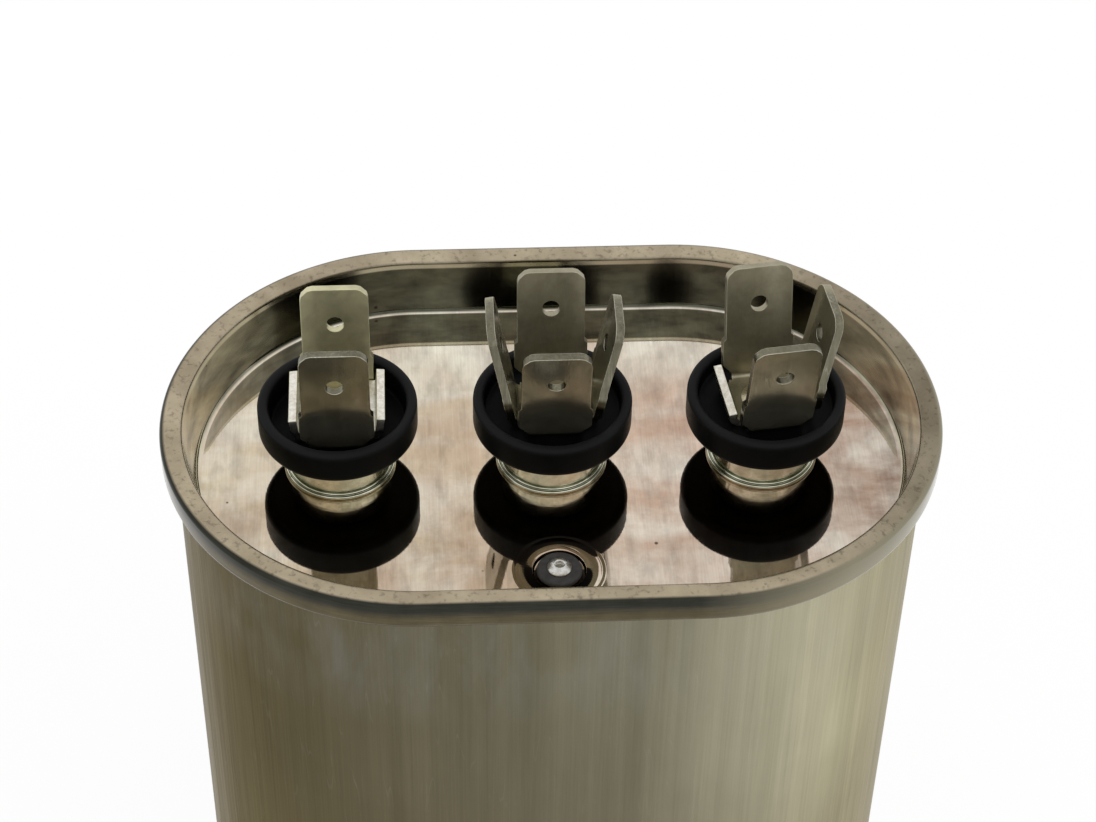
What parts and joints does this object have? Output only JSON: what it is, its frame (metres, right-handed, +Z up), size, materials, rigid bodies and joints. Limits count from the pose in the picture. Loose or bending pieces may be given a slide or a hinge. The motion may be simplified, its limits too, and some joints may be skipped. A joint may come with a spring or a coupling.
{
  "type": "motor run capacitor",
  "caption": "Oval dual motor run capacitor: a drawn can with a seamed sunken lid, terminals with push-on tabs on insulating cups, and film windings inside.",
  "frame": {"origin": "centre of the can's base", "axes": "+Z up, X along the row of terminals with the three-tab terminal at +X, -Y the front with the fill hole"},
  "size_m": [0.0738, 0.0486, 0.1113],
  "materials": {
    "can_aluminium": "drawn and brushed, warm grey",
    "tinplate": "bright tinplate with fine rolling grain",
    "rubber": "matte",
    "pin_metal": "bright",
    "ferrule_plate": "bright nickel plate",
    "black_moulding": "semi-gloss black",
    "fibre_board": "pressed board",
    "rivet_brass": "tinned brass",
    "tab_plate": "tin plate with handling scratches",
    "pad_plastic": "natural moulding",
    "liner_film": "insulating film",
    "core_plastic": "natural moulding",
    "film_roll": "metallised film",
    "sprayed_metal": "sprayed zinc",
    "lead_sleeving": "insulated lead"
  },
  "bodies": {
    "root": {"can_body": "can_aluminium", "lid": "tinplate", "fill_gasket": "rubber", "fill_pin": "pin_metal", "left_ferrule": "ferrule_plate", "left_cup": "black_moulding", "left_gasket": "rubber", "left_washer": "fibre_board", "left_rivet": "rivet_brass", "left_tabs": "tab_plate", "centre_ferrule": "ferrule_plate", "centre_cup": "black_moulding", "centre_gasket": "rubber", "centre_washer": "fibre_board", "centre_rivet": "rivet_brass", "centre_tabs": "tab_plate", "right_ferrule": "ferrule_plate", "right_cup": "black_moulding", "right_gasket": "rubber", "right_washer": "fibre_board", "right_rivet": "rivet_brass", "right_tabs": "tab_plate", "bottom_pad": "pad_plastic", "liner": "liner_film", "main_core": "core_plastic", "main_winding": "film_roll", "main_lower_contact": "sprayed_metal", "main_upper_contact": "sprayed_metal", "separator": "pad_plastic", "fan_core": "core_plastic", "fan_winding": "film_roll", "fan_lower_contact": "sprayed_metal", "fan_upper_contact": "sprayed_metal", "top_pad": "pad_plastic", "main_lead": "lead_sleeving", "common_lead": "lead_sleeving", "fan_lead": "lead_sleeving"}
  },
  "joints": []
}
